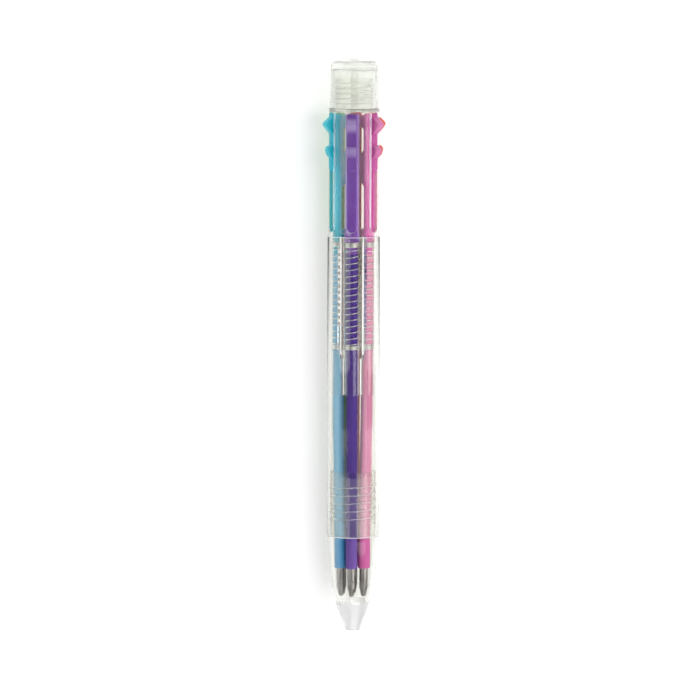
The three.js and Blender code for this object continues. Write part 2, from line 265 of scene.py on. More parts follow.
# ---- materials ----
class Shader:
    """A material's node tree with a Principled shader and a few short ways to add to it."""

    def __init__(self, name):
        self.material = bpy.data.materials.new(name)
        self.material.use_nodes = True
        self.tree = self.material.node_tree
        self.tree.nodes.clear()
        self.output = self.add("ShaderNodeOutputMaterial")
        self.main = self.add("ShaderNodeBsdfPrincipled")
        self.link(self.main.outputs["BSDF"], self.output.inputs["Surface"])
        self.coordinates = self.add("ShaderNodeTexCoord").outputs["Object"]

    def add(self, kind, **settings):
        node = self.tree.nodes.new(kind)
        for name, value in settings.items():
            setattr(node, name, value)
        return node

    def link(self, output, socket):
        self.tree.links.new(output, socket)

    def set(self, **values):
        for name, value in values.items():
            self.main.inputs[name.replace("_", " ")].default_value = value

    def noise(self, scale, detail=3.0, stretch=(1, 1, 1)):
        mapping = self.add("ShaderNodeMapping")
        mapping.inputs["Scale"].default_value = stretch
        self.link(self.coordinates, mapping.inputs["Vector"])
        node = self.add("ShaderNodeTexNoise")
        node.inputs["Scale"].default_value = scale
        node.inputs["Detail"].default_value = detail
        self.link(mapping.outputs["Vector"], node.inputs["Vector"])
        return node.outputs["Fac"]

    def ranged(self, value, low, high):
        node = self.add("ShaderNodeMapRange")
        node.inputs["To Min"].default_value = low
        node.inputs["To Max"].default_value = high
        self.link(value, node.inputs["Value"])
        return node.outputs["Result"]

    def mixed(self, factor, first, second):
        node = self.add("ShaderNodeMix", data_type="RGBA")
        self.link(factor, node.inputs["Factor"])
        node.inputs["A"].default_value = (*first, 1)
        node.inputs["B"].default_value = (*second, 1)
        return node.outputs["Result"]

    def bump(self, height, strength, distance):
        node = self.add("ShaderNodeBump")
        node.inputs["Strength"].default_value = strength
        node.inputs["Distance"].default_value = distance
        self.link(height, node.inputs["Height"])
        self.link(node.outputs["Normal"], self.main.inputs["Normal"])

    def distance_from_axis(self, near, far):
        """0 at the near distance from the pen's axis, in mm, and 1 at the far one."""
        mapping = self.add("ShaderNodeMapping")
        mapping.inputs["Location"].default_value = (0, 0, -AXIS_HEIGHT)
        mapping.inputs["Scale"].default_value = (1, 0, 1)
        self.link(self.coordinates, mapping.inputs["Vector"])
        length = self.add("ShaderNodeVectorMath", operation="LENGTH")
        self.link(mapping.outputs["Vector"], length.inputs[0])
        node = self.add("ShaderNodeMapRange", interpolation_type="SMOOTHSTEP")
        node.inputs["From Min"].default_value = near * MM
        node.inputs["From Max"].default_value = far * MM
        self.link(length.outputs["Value"], node.inputs["Value"])
        return node.outputs["Result"]

    def height(self, low, high):
        """0 at the low height along the pen, in mm from the writing end, and 1 at the high one."""
        split = self.add("ShaderNodeSeparateXYZ")
        self.link(self.coordinates, split.inputs["Vector"])
        node = self.add("ShaderNodeMapRange", interpolation_type="SMOOTHSTEP")
        node.inputs["From Min"].default_value = WRITING_END + low * MM
        node.inputs["From Max"].default_value = WRITING_END + high * MM
        self.link(split.outputs["Y"], node.inputs["Value"])
        return node.outputs["Result"]

    def let_lamps_through(self, tint):
        """Light from lamps reaches what is inside the clear plastic."""
        see_through = self.add("ShaderNodeBsdfTransparent")
        see_through.inputs["Color"].default_value = (*tint, 1)
        path = self.add("ShaderNodeLightPath")
        mix = self.add("ShaderNodeMixShader")
        self.link(path.outputs["Is Shadow Ray"], mix.inputs["Fac"])
        self.link(self.main.outputs["BSDF"], mix.inputs[1])
        self.link(see_through.outputs["BSDF"], mix.inputs[2])
        self.link(mix.outputs["Shader"], self.output.inputs["Surface"])


def clear_plastic(name, roughness, tint, lamp_tint):
    """Clear moulded plastic with a faint tint and fine scuffs along its length."""
    shader = Shader(name)
    shader.set(Base_Color=(*tint, 1), Transmission_Weight=1.0, IOR=1.49)
    scuffs = shader.noise(900, detail=5, stretch=(1, 0.25, 1))
    shader.link(shader.ranged(scuffs, roughness * 0.4, roughness * 1.6), shader.main.inputs["Roughness"])
    flow = shader.noise(260, detail=2, stretch=(1, 0.15, 1))
    shader.bump(flow, 0.02, 0.00004)
    shader.let_lamps_through(lamp_tint)
    return shader.material


def painted_glow_plastic():
    """Clear plastic seen edge on, with a painted glow: a faint white emission stands in for the light that
    runs along inside it and makes it look white.
    """
    shader = Shader("painted_glow_plastic")
    shader.set(IOR=1.49, Subsurface_Weight=0.4, Subsurface_Scale=0.0005, Subsurface_Radius=(1, 1, 1))
    # Painted glow: white emission, though this plastic is no lamp.
    shader.set(Emission_Color=(1, 1, 1, 1), Emission_Strength=0.22)
    glow = shader.noise(500, detail=2, stretch=(1, 0.2, 1))
    shader.link(shader.mixed(glow, (0.9, 0.91, 0.9), (0.98, 0.98, 0.98)), shader.main.inputs["Base Color"])
    shader.link(shader.ranged(glow, 0.15, 0.3), shader.main.inputs["Roughness"])
    return shader.material


def milky_plastic(name, clearness, dark, light, roughness, lamp_tint=(0.95, 0.95, 0.94)):
    """Translucent plastic: part of the light goes straight through and the rest is scattered."""
    shader = Shader(name)
    shader.set(Transmission_Weight=clearness, IOR=1.49)
    cloud = shader.noise(420, detail=3)
    shader.link(shader.mixed(cloud, dark, light), shader.main.inputs["Base Color"])
    grain = shader.noise(2600, detail=4)
    shader.link(
        shader.ranged(grain, roughness * 0.6, roughness * 1.4), shader.main.inputs["Roughness"]
    )
    shader.bump(grain, 0.06, 0.00002)
    shader.let_lamps_through(lamp_tint)
    return shader.material


def painted_slot_reflection(colour):
    """The slots' cut walls, with a painted reflection: each wall is tinted with a pale copy of the colour
    of the slider beside it.
    """
    # Painted reflection: the wall's colours come from the slider's light tone.
    tint = [0.14 + 0.86 * channel**0.6 for channel in SLIDER_COLOURS[colour][1]]
    deep = [channel * 0.9 for channel in tint]
    return milky_plastic(f"{colour}_slot_wall", 0.3, deep, tint, 0.2)


def coloured_plastic(colour, dark, light, tip):
    """Translucent moulded plastic: a little cloudy, and paler where it stands out of the barrel: painted
    light, standing in for light scattered in the bumps.
    """
    shader = Shader(f"{colour}_plastic")
    shader.set(Subsurface_Weight=0.3, Subsurface_Scale=0.0009, Subsurface_Radius=(1, 1, 1))
    shader.set(IOR=1.45, Specular_IOR_Level=0.25)
    cloud = shader.noise(700, detail=3, stretch=(1, 0.4, 1))
    body = shader.mixed(cloud, dark, light)
    # Painted light: the colour blends towards the pale tip colour outside the barrel.
    outside = shader.add("ShaderNodeMix", data_type="RGBA")
    shader.link(shader.distance_from_axis(6.35, 7.9), outside.inputs["Factor"])
    shader.link(body, outside.inputs["A"])
    outside.inputs["B"].default_value = (*tip, 1)
    shader.link(outside.outputs["Result"], shader.main.inputs["Base Color"])
    grain = shader.noise(3200, detail=4)
    shader.link(shader.ranged(grain, 0.2, 0.36), shader.main.inputs["Roughness"])
    shader.bump(grain, 0.1, 0.00002)
    return shader.material


def tube_plastic(colour, dark, light, deep):
    """Extruded refill tube seen with its ink: faint streaks, and a deeper colour at the writing end."""
    shader = Shader(f"{colour}_tube")
    shader.set(Subsurface_Weight=0.2, Subsurface_Scale=0.0005, Subsurface_Radius=(1, 1, 1))
    shader.set(IOR=1.45, Specular_IOR_Level=0.2)
    streak = shader.noise(900, detail=3, stretch=(1, 0.03, 1))
    lower = shader.add("ShaderNodeMix", data_type="RGBA")
    shader.link(shader.height(22.5, 25.5), lower.inputs["Factor"])
    lower.inputs["A"].default_value = (*deep, 1)
    shader.link(shader.mixed(streak, dark, light), lower.inputs["B"])
    shader.link(lower.outputs["Result"], shader.main.inputs["Base Color"])
    shader.link(shader.ranged(streak, 0.22, 0.38), shader.main.inputs["Roughness"])
    shader.bump(streak, 0.08, 0.00002)
    return shader.material


def drawn_metal(name, dark, light, roughness, stretch):
    shader = Shader(name)
    shader.set(Metallic=1.0)
    streak = shader.noise(4000, detail=3, stretch=stretch)
    shader.link(shader.mixed(streak, dark, light), shader.main.inputs["Base Color"])
    shader.link(
        shader.ranged(streak, roughness * 0.7, roughness * 1.3), shader.main.inputs["Roughness"]
    )
    shader.bump(streak, 0.1, 0.00001)
    return shader.material


# Slider colours: dark and light tones of the plastic, then the pale tip colour painted on the bumps as
# painted light.
SLIDER_COLOURS = {
    "purple": ((0.21, 0.08, 0.42), (0.31, 0.15, 0.54), (0.5, 0.36, 0.7)),
    "pink": ((0.6, 0.06, 0.35), (0.78, 0.14, 0.48), (0.88, 0.26, 0.56)),
    "orange": ((0.78, 0.09, 0.07), (0.92, 0.18, 0.13), (0.95, 0.2, 0.15)),
    "red": ((0.55, 0.03, 0.05), (0.72, 0.06, 0.09), (0.85, 0.16, 0.2)),
    "green": ((0.1, 0.42, 0.09), (0.2, 0.58, 0.16), (0.35, 0.7, 0.3)),
    "cyan": ((0.0, 0.48, 0.64), (0.0, 0.6, 0.76), (0.06, 0.68, 0.8)),
}
TUBE_COLOURS = {
    "purple": ((0.065, 0.028, 0.24), (0.11, 0.055, 0.32), (0.19, 0.1, 0.43)),
    "pink": ((0.64, 0.19, 0.37), (0.78, 0.33, 0.5), (0.68, 0.15, 0.42)),
    "orange": ((0.66, 0.09, 0.05), (0.8, 0.16, 0.08), (0.6, 0.07, 0.04)),
    "red": ((0.5, 0.02, 0.06), (0.64, 0.05, 0.1), (0.45, 0.02, 0.05)),
    "green": ((0.12, 0.42, 0.09), (0.2, 0.52, 0.15), (0.1, 0.36, 0.07)),
    "cyan": ((0.16, 0.45, 0.7), (0.28, 0.58, 0.8), (0.09, 0.35, 0.66)),
}

BARREL_PLASTIC = clear_plastic("barrel_plastic", 0.03, (0.93, 0.935, 0.9), (0.92, 0.92, 0.91))
GUIDE_PLASTIC = clear_plastic("guide_plastic", 0.05, (0.98, 0.98, 0.97), (0.96, 0.96, 0.95))
PAINTED_GLOW_PLASTIC = painted_glow_plastic()
CAP_PLASTIC = milky_plastic(
    "cap_plastic", 0.76, (0.955, 0.97, 0.93), (0.98, 0.99, 0.96), 0.052, (0.88, 0.89, 0.86)
)
TIP_PLASTIC = milky_plastic(
    "tip_plastic", 0.72, (0.965, 0.96, 0.965), (0.985, 0.98, 0.985), 0.15, (0.76, 0.76, 0.76)
)
# Thread plastic: grey painted shade for the darkness that the neck thread's flanks show through the cap.
THREAD_SHADE_PLASTIC = milky_plastic("thread_shade_plastic", 0.4, (0.6, 0.62, 0.58), (0.7, 0.72, 0.67), 0.3)
HAZY_PLASTIC = milky_plastic("hazy_plastic", 0.94, (0.96, 0.96, 0.95), (0.99, 0.99, 0.98), 0.14)
# Crest plastic: a milky white painted highlight for the light that thread crests and eased slot edges
# catch.
CREST_HIGHLIGHT_PLASTIC = milky_plastic("crest_highlight_plastic", 0.68, (0.95, 0.95, 0.94), (0.99, 0.99, 0.98), 0.3)
SLOT_WALL_PAINTED_REFLECTIONS = {colour: painted_slot_reflection(colour) for colour in COLOURS}
UPPER_BARREL_PLASTICS = [
    BARREL_PLASTIC,
    HAZY_PLASTIC,
    CREST_HIGHLIGHT_PLASTIC,
    THREAD_SHADE_PLASTIC,
    *SLOT_WALL_PAINTED_REFLECTIONS.values(),
]
SPRING_WIRE = drawn_metal("spring_wire", (0.86, 0.86, 0.82), (0.98, 0.98, 0.95), 0.3, (1, 0.2, 1))
POINT_METAL = drawn_metal("point_metal", (0.34, 0.32, 0.325), (0.52, 0.5, 0.5), 0.42, (1, 0.08, 1))
BALL_METAL = drawn_metal("ball_metal", (0.4, 0.4, 0.41), (0.5, 0.5, 0.52), 0.1, (1, 1, 1))


def dress(obj, material, body, node):
    if obj.data.materials:
        obj.data.materials[0] = material
    else:
        obj.data.materials.append(material)
    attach(obj, body)
    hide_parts(node)
    return obj


# ---- casing ----
NOSE_JOINT = heights("lower_barrel")[0]
BODY_JOINT = heights("lower_barrel")[1]
CAP_JOINT = heights("top_cap")[0]
LOWER_RADIUS = 6.6
LOWER_BORE = 5.68
UPPER_RADIUS = 6.35
UPPER_BORE = 5.38
JOINT_GAP = 0.03


def paint(obj, plastics, choose):
    """Gives each face the plastic that choose(y, radius) picks from the list, with both in mm."""
    for plastic in plastics:
        obj.data.materials.append(plastic)
    to_pen = PEN_TO_WORLD.inverted()
    for face in obj.data.polygons:
        centre = to_pen @ face.center
        radius = math.hypot(centre.x, centre.z)
        face.material_index = plastics.index(choose(centre.y, radius))


def make_lower_barrel():
    counterbore = 5.9
    taper_bottom = 40.5
    taper_top = 50.5
    rim = 0.08
    outline = filleted(
        [
            (counterbore, NOSE_JOINT, rim),
            (LOWER_RADIUS, NOSE_JOINT, rim),
            (LOWER_RADIUS, BODY_JOINT, rim),
            (LOWER_BORE, BODY_JOINT, 0.05),
            (LOWER_BORE, taper_top),
            (counterbore, taper_bottom),
        ]
    )
    barrel = smooth(lathe("lower_barrel_clear", outline))

    # The rims at both joints take the painted glow plastic, a painted highlight on the joint lines.
    def painted_glow_rims(y, _):
        return BARREL_PLASTIC if NOSE_JOINT + rim < y < BODY_JOINT - rim else PAINTED_GLOW_PLASTIC

    paint(barrel, [BARREL_PLASTIC, PAINTED_GLOW_PLASTIC], painted_glow_rims)
    dress(barrel, BARREL_PLASTIC, "barrel", "lower_barrel")


# A thread's ridge: height in mm, and half its width as a part of the pitch.
THREAD_HEIGHT = 0.2
THREAD_HALF_WIDTH = 0.22


def thread_shift(radius, first, last, pitch):
    """Raises a helical ridge on the wall of that radius between two heights."""

    def shift(angle, y, r):
        if abs(r - radius) < 1e-6 and first < y < last:
            turn = (y / pitch - angle / (2 * math.pi)) % 1
            crest = max(0.0, 1 - abs(turn - 0.5) / THREAD_HALF_WIDTH)
            fade = min(1.0, (y - first) / pitch, (last - y) / pitch)
            r += THREAD_HEIGHT * fade * crest * crest * (3 - 2 * crest)
        return r * math.sin(angle), y, r * math.cos(angle)

    return shift


def rows(radius, low, high, step):
    """Outline points up a straight wall, close enough together to carry a thread."""
    count = round((high - low) / step)
    return [(radius, low + (high - low) * i / count) for i in range(count + 1)]


def make_nose_cone():
    spigot = 5.65
    spigot_top = 40.6
    spigot_bore = 5.2
    milky_tip = 7.2
    haze_bottom = NOSE_JOINT + 0.2
    haze_top = spigot_top - 1.3
    crest = spigot + 0.165
    outside = [(1.35, 0, 0.1), (1.75, 0, 0.15), (1.95, 0.3, 0.15), (2.6, 2.1), (3.1, 3.6)]
    outside += [(3.75, 5.3), (4.35, 7), (4.85, 8.7), (5.3, 11.2), (5.72, 14.2), (6.08, 17.2)]
    outside += [(6.33, 20.2), (6.53, 22.6), (6.58, NOSE_JOINT - JOINT_GAP, 0.08)]
    outside += [(spigot, NOSE_JOINT - JOINT_GAP)]
    inside = [(spigot_bore, spigot_top, 0.1), (spigot_bore, 23), (4.95, 19.5), (4.78, 15.8)]
    inside += [(4.36, 11.4), (4.12, 9.8), (3.8, 8.6), (3.35, 7.7), (2.95, 6), (2.2, 3.4), (1.35, 0.9, 0.1)]
    thread = rows(spigot, 25.5, 40.2, 0.16)
    outline = filleted(outside + thread + [(spigot, spigot_top, 0.1)] + inside)
    shift = thread_shift(spigot, 26.5, 39.5, pitch=2)
    nose = smooth(lathe("nose_cone_clear", outline, 128, shift))

    def tip_and_thread(y, radius):
        if y < milky_tip:
            return TIP_PLASTIC
        if not haze_bottom < y < haze_top or radius < spigot - 0.03:
            return BARREL_PLASTIC
        # Painted highlight: the thread's crests take the white crest plastic.
        return CREST_HIGHLIGHT_PLASTIC if radius > crest else HAZY_PLASTIC

    paint(nose, [BARREL_PLASTIC, HAZY_PLASTIC, CREST_HIGHLIGHT_PLASTIC, TIP_PLASTIC], tip_and_thread)
    dress(nose, BARREL_PLASTIC, "barrel", "nose_cone")


SLOT_WIDTH = 2.5
SLOT_BOTTOM = 100.9
SLOT_TOP = 130.6


def slot_outline(grow):
    half = SLOT_WIDTH / 2
    centre = SLOT_BOTTOM + half
    outline = []
    for i in range(17):
        angle = math.pi * (1 + i / 16)
        outline.append(((half + grow) * math.cos(angle), centre + (half + grow) * math.sin(angle)))
    outline += [(half + grow, SLOT_TOP + grow), (-half - grow, SLOT_TOP + grow)]
    return outline


def slot_cutter(colour):
    """A slot whose outer edge is eased: the cutter flares a little as it leaves the wall.
    Its faces carry the plastics that the cut surfaces of the barrel take over: on the walls the painted
    reflection of the slider beside them, on the eased edge a white painted highlight."""
    levels = [(4.5, 0.0), (6.1, 0.0), (6.22, 0.03), (6.32, 0.1), (6.5, 0.28)]
    points = []
    for radius, grow in levels:
        points += [(x, y, radius) for x, y in slot_outline(grow)]
    count = len(points) // len(levels)
    faces = [tuple(range(count)), tuple(range(len(points) - 1, len(points) - count - 1, -1))]
    for level in range(len(levels) - 1):
        here = level * count
        for i in range(count):
            j = (i + 1) % count
            faces.append((here + i, here + j, here + count + j, here + count + i))
    cutter = new_object("cutter", points, faces, Matrix.Identity(4))
    for plastic in UPPER_BARREL_PLASTICS:
        cutter.data.materials.append(plastic)
    wall = UPPER_BARREL_PLASTICS.index(SLOT_WALL_PAINTED_REFLECTIONS[colour])
    painted_highlight_edge = UPPER_BARREL_PLASTICS.index(CREST_HIGHLIGHT_PLASTIC)
    plastics = [wall] * (2 + count) + [painted_highlight_edge] * (len(faces) - 2 - count)
    cutter.data.polygons.foreach_set("material_index", plastics)
    return cutter


def make_upper_barrel():
    neck = 4.85
    neck_top = 139.2
    neck_bore = 4.1
    lap_bottom = 98.5
    shoulder_top = CAP_JOINT + 0.1
    crest = neck + 0.07
    lap = [
        (UPPER_BORE, lap_bottom, 0.1),
        (LOWER_BORE - JOINT_GAP, lap_bottom, 0.1),
        (LOWER_BORE - JOINT_GAP, BODY_JOINT + JOINT_GAP),
        (UPPER_RADIUS, BODY_JOINT + JOINT_GAP, 0.08),
    ]
    shoulder = [(UPPER_RADIUS, CAP_JOINT - JOINT_GAP, 0.08), (neck, CAP_JOINT - JOINT_GAP)]
    neck_end = [
        (neck, neck_top, 0.1),
        (neck_bore, neck_top, 0.1),
        (neck_bore, SLOT_TOP + 0.9),
        (UPPER_BORE, SLOT_TOP + 0.2),
    ]
    wall = rows(UPPER_RADIUS, 101, 131, 1)
    thread = rows(neck, CAP_JOINT + 0.2, neck_top - 0.3, 0.12)
    outline = filleted(lap + wall + shoulder + thread + neck_end)
    shift = thread_shift(neck, CAP_JOINT + 0.5, neck_top - 0.5, pitch=1.25)
    barrel = lathe("upper_barrel_clear", outline, 144, shift)

    def shoulder_and_thread(y, radius):
        if y < CAP_JOINT - 0.15 or radius < neck - 0.05:
            return BARREL_PLASTIC
        if y < shoulder_top:
            return HAZY_PLASTIC
        # Painted shade: the neck thread's crests take the grey thread plastic.
        return THREAD_SHADE_PLASTIC if radius > crest else BARREL_PLASTIC

    paint(barrel, UPPER_BARREL_PLASTICS, shoulder_and_thread)
    barrel.data.transform(PEN_TO_WORLD.inverted())
    cutters = [turned_to(slot_cutter(colour), station_angle(colour)) for colour in COLOURS]
    barrel = smooth(into_world(combined(barrel, cutters, "DIFFERENCE")))
    dress(barrel, BARREL_PLASTIC, "barrel", "upper_barrel")


def make_top_cap():
    bore = 5.11
    ceiling = 141.4
    pillar = 0.9
    pillar_bottom = 132.65
    corners = [
        (0.0, pillar_bottom),
        (pillar, pillar_bottom, 0.15),
        (pillar, ceiling, 0.3),
        (bore, ceiling, 0.7),
        (bore, CAP_JOINT, 0.06),
        (6.1, CAP_JOINT, 0.1),
        (6.02, 135),
        (5.92, 141.2, 0.5),
        (5.8, 142.5, 0.5),
        (5.48, 143.1, 0.3),
        (5, 143.38, 0.3),
        (1.6, 143.63, 0.1),
        (1.3, LENGTH, 0.12),
        (0.0, LENGTH),
    ]
    outline = filleted(corners, 5)
    cap = smooth(lathe("top_cap_frosted", outline, 96, closed=False), 50)
    dress(cap, CAP_PLASTIC, "barrel", "top_cap")


# ---- refill guide ----
SPRING_ROOM = 1.78
SPRING_SEAT = 71.3
HUB_RADIUS = 4.15
BLOCK_BOTTOM = 69.3
RIB_RADIUS = 5.3
RIB_BOTTOM = 70.5
BEAD_WIDTH = 0.34


def station_rods(radius, bottom, top, sides=40):
    rods = []
    for colour in COLOURS:
        outline = circle(radius, sides, 0, STATION_RADIUS)
        rods.append(turned_to(prism("rod", outline, bottom, top, along_axis), station_angle(colour)))
    return rods


def channel_cutters(bottom, top):
    """Round inside and open towards the barrel, one for each spring."""
    half = SPRING_ROOM
    outline = []
    for i in range(33):
        angle = math.pi * (1 + i / 32)
        outline.append((half * math.cos(angle), STATION_RADIUS + half * math.sin(angle)))
    outline += [(half, 7), (-half, 7)]
    cutters = []
    for colour in COLOURS:
        channel = prism("channel", outline, bottom, top, along_axis)
        cutters.append(turned_to(channel, station_angle(colour)))
    return cutters


def make_refill_guide():
    sleeve_bottom, rib_top = heights("refill_guide")
    block_top = 77.3
    lobe, tube_hole, block_radius = 1.65, 1.5, 5
    hub = prism("refill_guide_clear", circle(HUB_RADIUS, 96), sleeve_bottom, SPRING_SEAT, along_axis)
    combined(hub, station_rods(lobe, sleeve_bottom, SPRING_SEAT), "UNION")
    block = prism("block", circle(block_radius, 120), BLOCK_BOTTOM, block_top, along_axis)
    combined(block, station_rods(SPRING_ROOM, SPRING_SEAT, block_top + 1), "DIFFERENCE")
    combined(hub, [block], "UNION")
    combined(hub, station_rods(tube_hole, sleeve_bottom - 1, SPRING_SEAT + 1), "DIFFERENCE")
    ribs = prism("ribs", circle(RIB_RADIUS, 120), RIB_BOTTOM, rib_top, along_axis)
    combined(ribs, channel_cutters(RIB_BOTTOM - 1, rib_top + 1), "DIFFERENCE")
    combined(hub, [ribs], "UNION")
    guide = smooth(into_world(hub), 30)
    dress(guide, GUIDE_PLASTIC, "barrel", "refill_guide")


def painted_glow_bead(name, angle, radius, low, high):
    """A narrow raised bead along the guide, with a painted glow standing in for the light its polished
    edge gathers.
    """
    half = BEAD_WIDTH / 2
    outline = filleted(
        [
            (-half, radius - 0.15),
            (half, radius - 0.15),
            (half, radius + 0.05, 0.05),
            (-half, radius + 0.05, 0.05),
        ]
    )
    bead = prism(name, outline, low, high, along_axis)
    into_world(turned_to(bead, angle))
    dress(smooth(bead), PAINTED_GLOW_PLASTIC, "barrel", "refill_guide")


def make_painted_glow_lines():
    sleeve_bottom, rib_top = 60.2, 99.9
    for colour in COLOURS:
        angle = station_angle(colour) + math.pi / len(COLOURS)
        # Each rib edge and valley gets a bead with a painted glow, standing for the white line of light
        # seen along it.
        painted_glow_bead(f"rib_painted_glow_after_{colour}", angle, RIB_RADIUS, RIB_BOTTOM - 0.2, rib_top)
        painted_glow_bead(f"valley_painted_glow_after_{colour}", angle, HUB_RADIUS, sleeve_bottom, BLOCK_BOTTOM)


# ---- springs ----
SPRING_TOP = 98.4
SPRING_WIRE_RADIUS = 0.125
SPRING_MEAN_RADIUS = 1.59
CLOSED_TURNS = 4
CLOSED_PITCH = 2.06
OPEN_TURNS = 17


def spring_height(turn):
    """Height of the wire's middle: the coils touch over the closed turns at each end."""
    closed_rise = CLOSED_PITCH * SPRING_WIRE_RADIUS * CLOSED_TURNS
    bottom = SPRING_SEAT + SPRING_WIRE_RADIUS
    top = SPRING_TOP - SPRING_WIRE_RADIUS
    open_rise = top - bottom - 2 * closed_rise
    if turn < CLOSED_TURNS:
        return bottom + closed_rise * turn / CLOSED_TURNS
    above = turn - CLOSED_TURNS - OPEN_TURNS
    if above > 0:
        return top - closed_rise * (1 - above / CLOSED_TURNS)
    t = (turn - CLOSED_TURNS) / OPEN_TURNS
    return bottom + closed_rise + open_rise * eased(t)


def eased(t):
    """From 0 to 1, gently over the first and last 7% and evenly between."""
    edge = 0.07
    full = 1 - edge
    if t < edge:
        return t * t / (2 * edge * full)
    if t > 1 - edge:
        return 1 - (1 - t) ** 2 / (2 * edge * full)
    return (t - edge / 2) / full


def make_spring(colour):
    steps = 28
    sides = 8
    spin = station_angle(colour)
    centre = Vector((STATION_RADIUS * math.sin(spin), 0, STATION_RADIUS * math.cos(spin)))
    turns = OPEN_TURNS + 2 * CLOSED_TURNS
    count = turns * steps
    points = []
    faces = []
    for i in range(count + 1):
        turn = i / steps
        angle = spin + 2 * math.pi * turn
        out = Vector((math.cos(angle), 0, -math.sin(angle)))
        middle = centre + out * SPRING_MEAN_RADIUS + Vector((0, spring_height(turn), 0))
        for across, along in circle(SPRING_WIRE_RADIUS, sides):
            points.append(middle + across * out + along * Vector((0, 1, 0)))
    for i in range(count):
        here = i * sides
        for k in range(sides):
            j = (k + 1) % sides
            faces.append((here + k, here + j, here + sides + j, here + sides + k))
    faces.append(tuple(range(sides)))
    faces.append(tuple(range(count * sides + sides - 1, count * sides - 1, -1)))
    spring = smooth(new_object(f"spring_{colour}_wire", points, faces), 60)
    dress(spring, SPRING_WIRE, "barrel", f"spring_{colour}")
    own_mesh(spring)


# ---- refills: bent a little at rest ----
BEND_TOP = 60
BEND_BOTTOM = 52
BEND_MIDDLE = 56


def tube_lean(colour):
    """Slope of the refill's lower end towards the axis, from the CAD ball's place."""
    low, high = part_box(f"writing_ball_{colour}")
    ball = (low + high) / 2
    from_axis = math.hypot(ball.x, ball.z - AXIS_HEIGHT) / MM
    drop = BEND_MIDDLE - (ball.y - WRITING_END) / MM
    return math.atan((STATION_RADIUS - from_axis) / drop)


def make_refill_tube(colour):
    low, high = heights(f"refill_tube_{colour}")
    outer, bore = 1.4, 0.95
    slope = math.tan(tube_lean(colour))
    spin = station_angle(colour)

    def shift(angle, y, r):
        if y >= BEND_TOP:
            inward = 0
        elif y <= BEND_BOTTOM:
            inward = slope * (BEND_MIDDLE - y)
        else:
            inward = slope * (BEND_TOP - y) ** 2 / (2 * (BEND_TOP - BEND_BOTTOM))
        x = r * math.sin(angle)
        z = r * math.cos(angle) + STATION_RADIUS - inward
        return x * math.cos(spin) + z * math.sin(spin), y, z * math.cos(spin) - x * math.sin(spin)

    outside = rows(outer, low + 0.5, high - 0.5, 1.3)
    inside = rows(bore, low + 0.5, high - 0.5, 1.3)[::-1]
    lower_rim = [(bore, low, 0.06), (outer, low, 0.12)]
    upper_rim = [(outer, high, 0.1), (bore, high, 0.05)]
    outline = filleted(lower_rim + outside + upper_rim + inside)
    tube = smooth(lathe(f"refill_tube_{colour}_fine", outline, 40, shift))
    tube.data.materials.append(tube_plastic(colour, *TUBE_COLOURS[colour]))
    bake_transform(tube)
    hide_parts(f"refill_tube_{colour}")


def leaned(colour):
    """Shift for pieces turned round the refill's own axis, which leans in below the bend."""
    lean = tube_lean(colour)
    place = (
        Matrix.Rotation(station_angle(colour), 4, "Y")
        @ Matrix.Translation((0, BEND_MIDDLE, STATION_RADIUS))
        @ Matrix.Rotation(lean, 4, "X")
    )

    def shift(angle, y, r):
        return place @ Vector((r * math.sin(angle), y - BEND_MIDDLE, r * math.cos(angle)))

    return shift


def make_writing_point(colour):
    tube_bottom = heights(f"refill_tube_{colour}")[0]
    tip = 8.8
    ball = 0.45
    centre = tip + ball
    socket = ball + 0.03
    rim = centre - 0.16
    rim_inner = math.sqrt(socket**2 - (centre - rim) ** 2)
    socket_end = [(0.0, centre + socket), (socket * 0.707, centre + socket * 0.707), (socket, centre)]
    outside = [
        (rim_inner, rim),
        (rim_inner + 0.1, rim, 0.03),
        (0.72, 10.2, 0.3),
        (0.98, 11.35, 0.2),
        (0.98, 12.4, 0.05),
        (0.92, 12.5, 0.05),
        (0.92, 12.75, 0.05),
        (1, 12.85, 0.05),
        (1, tube_bottom - 0.02, 0.05),
        (0.9, tube_bottom - 0.02),
        (0.9, tube_bottom + 4, 0.1),
        (0.0, tube_bottom + 4),
    ]
    outline = filleted(socket_end + outside)
    point = smooth(lathe(f"writing_point_{colour}_fine", outline, 40, leaned(colour), closed=False))
    dress(point, POINT_METAL, f"point_{colour}", f"writing_point_{colour}")
    half_turn = [math.pi * i / 14 - math.pi / 2 for i in range(15)]
    arc = [(ball * math.cos(a), centre + ball * math.sin(a)) for a in half_turn]
    arc[0] = (0.0, centre - ball)
    arc[-1] = (0.0, centre + ball)
    sphere = smooth(lathe(f"writing_ball_{colour}_fine", arc, 28, leaned(colour), closed=False), 80)
    dress(sphere, BALL_METAL, f"point_{colour}", f"writing_ball_{colour}")


# ---- sliders ----
SLIDER_TOP = heights("slider_red")[1]
SLIDER_FOOT = SPRING_TOP
PAD_BOTTOM = 115.8


